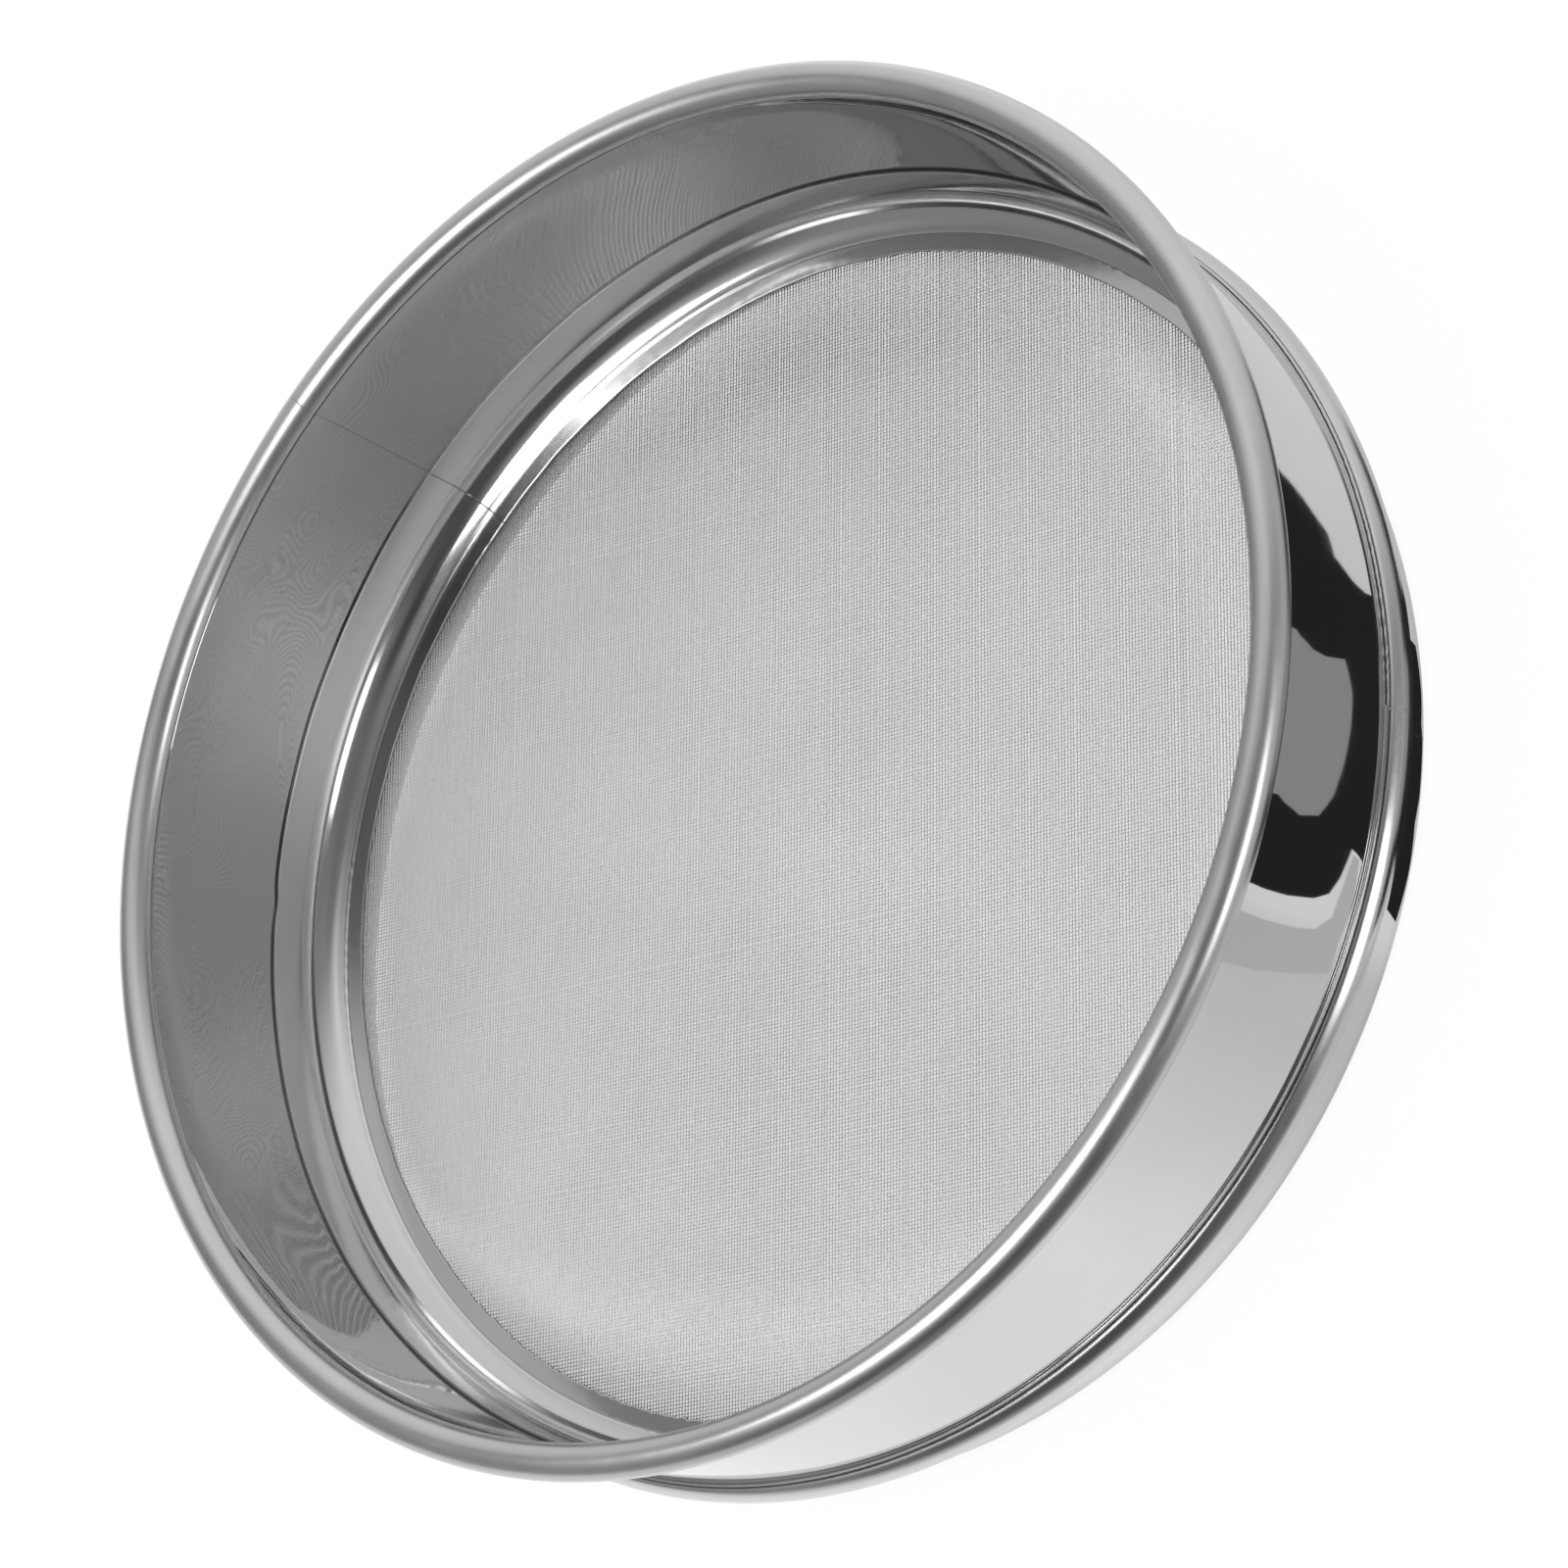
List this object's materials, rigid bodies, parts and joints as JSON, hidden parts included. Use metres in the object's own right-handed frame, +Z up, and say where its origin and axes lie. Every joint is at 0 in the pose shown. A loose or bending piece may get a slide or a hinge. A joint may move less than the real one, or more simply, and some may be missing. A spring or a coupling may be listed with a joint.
{
  "type": "mesh sieve",
  "caption": "Round flour sieve of stainless steel: a rolled-rim hoop with a straight polished wall, fine woven cloth held under an inward shelf, and a short skirt that it stands on.",
  "frame": {"origin": "centre of the round resting edge, on the surface that the sieve stands on", "axes": "+Z up through the middle of the sieve; +Y points at the weld of the upper hoop; the cloth lies flat between the lower ring and the shelf"},
  "size_m": [0.2, 0.2, 0.0482],
  "materials": {
    "polished_steel": "polished to a mirror on the wall, satin on the rim",
    "weld_steel": "ground flush, slightly duller than the sheet",
    "plain_steel": "as drawn",
    "cloth_steel": "fine drawn wire"
  },
  "bodies": {
    "root": {"upper_hoop": "polished_steel", "hoop_seam": "weld_steel", "rim_wire": "plain_steel", "mesh_warp": "cloth_steel", "mesh_weft": "cloth_steel", "mesh_hem": "plain_steel", "lower_ring": "polished_steel", "ring_seam": "weld_steel"}
  },
  "joints": []
}
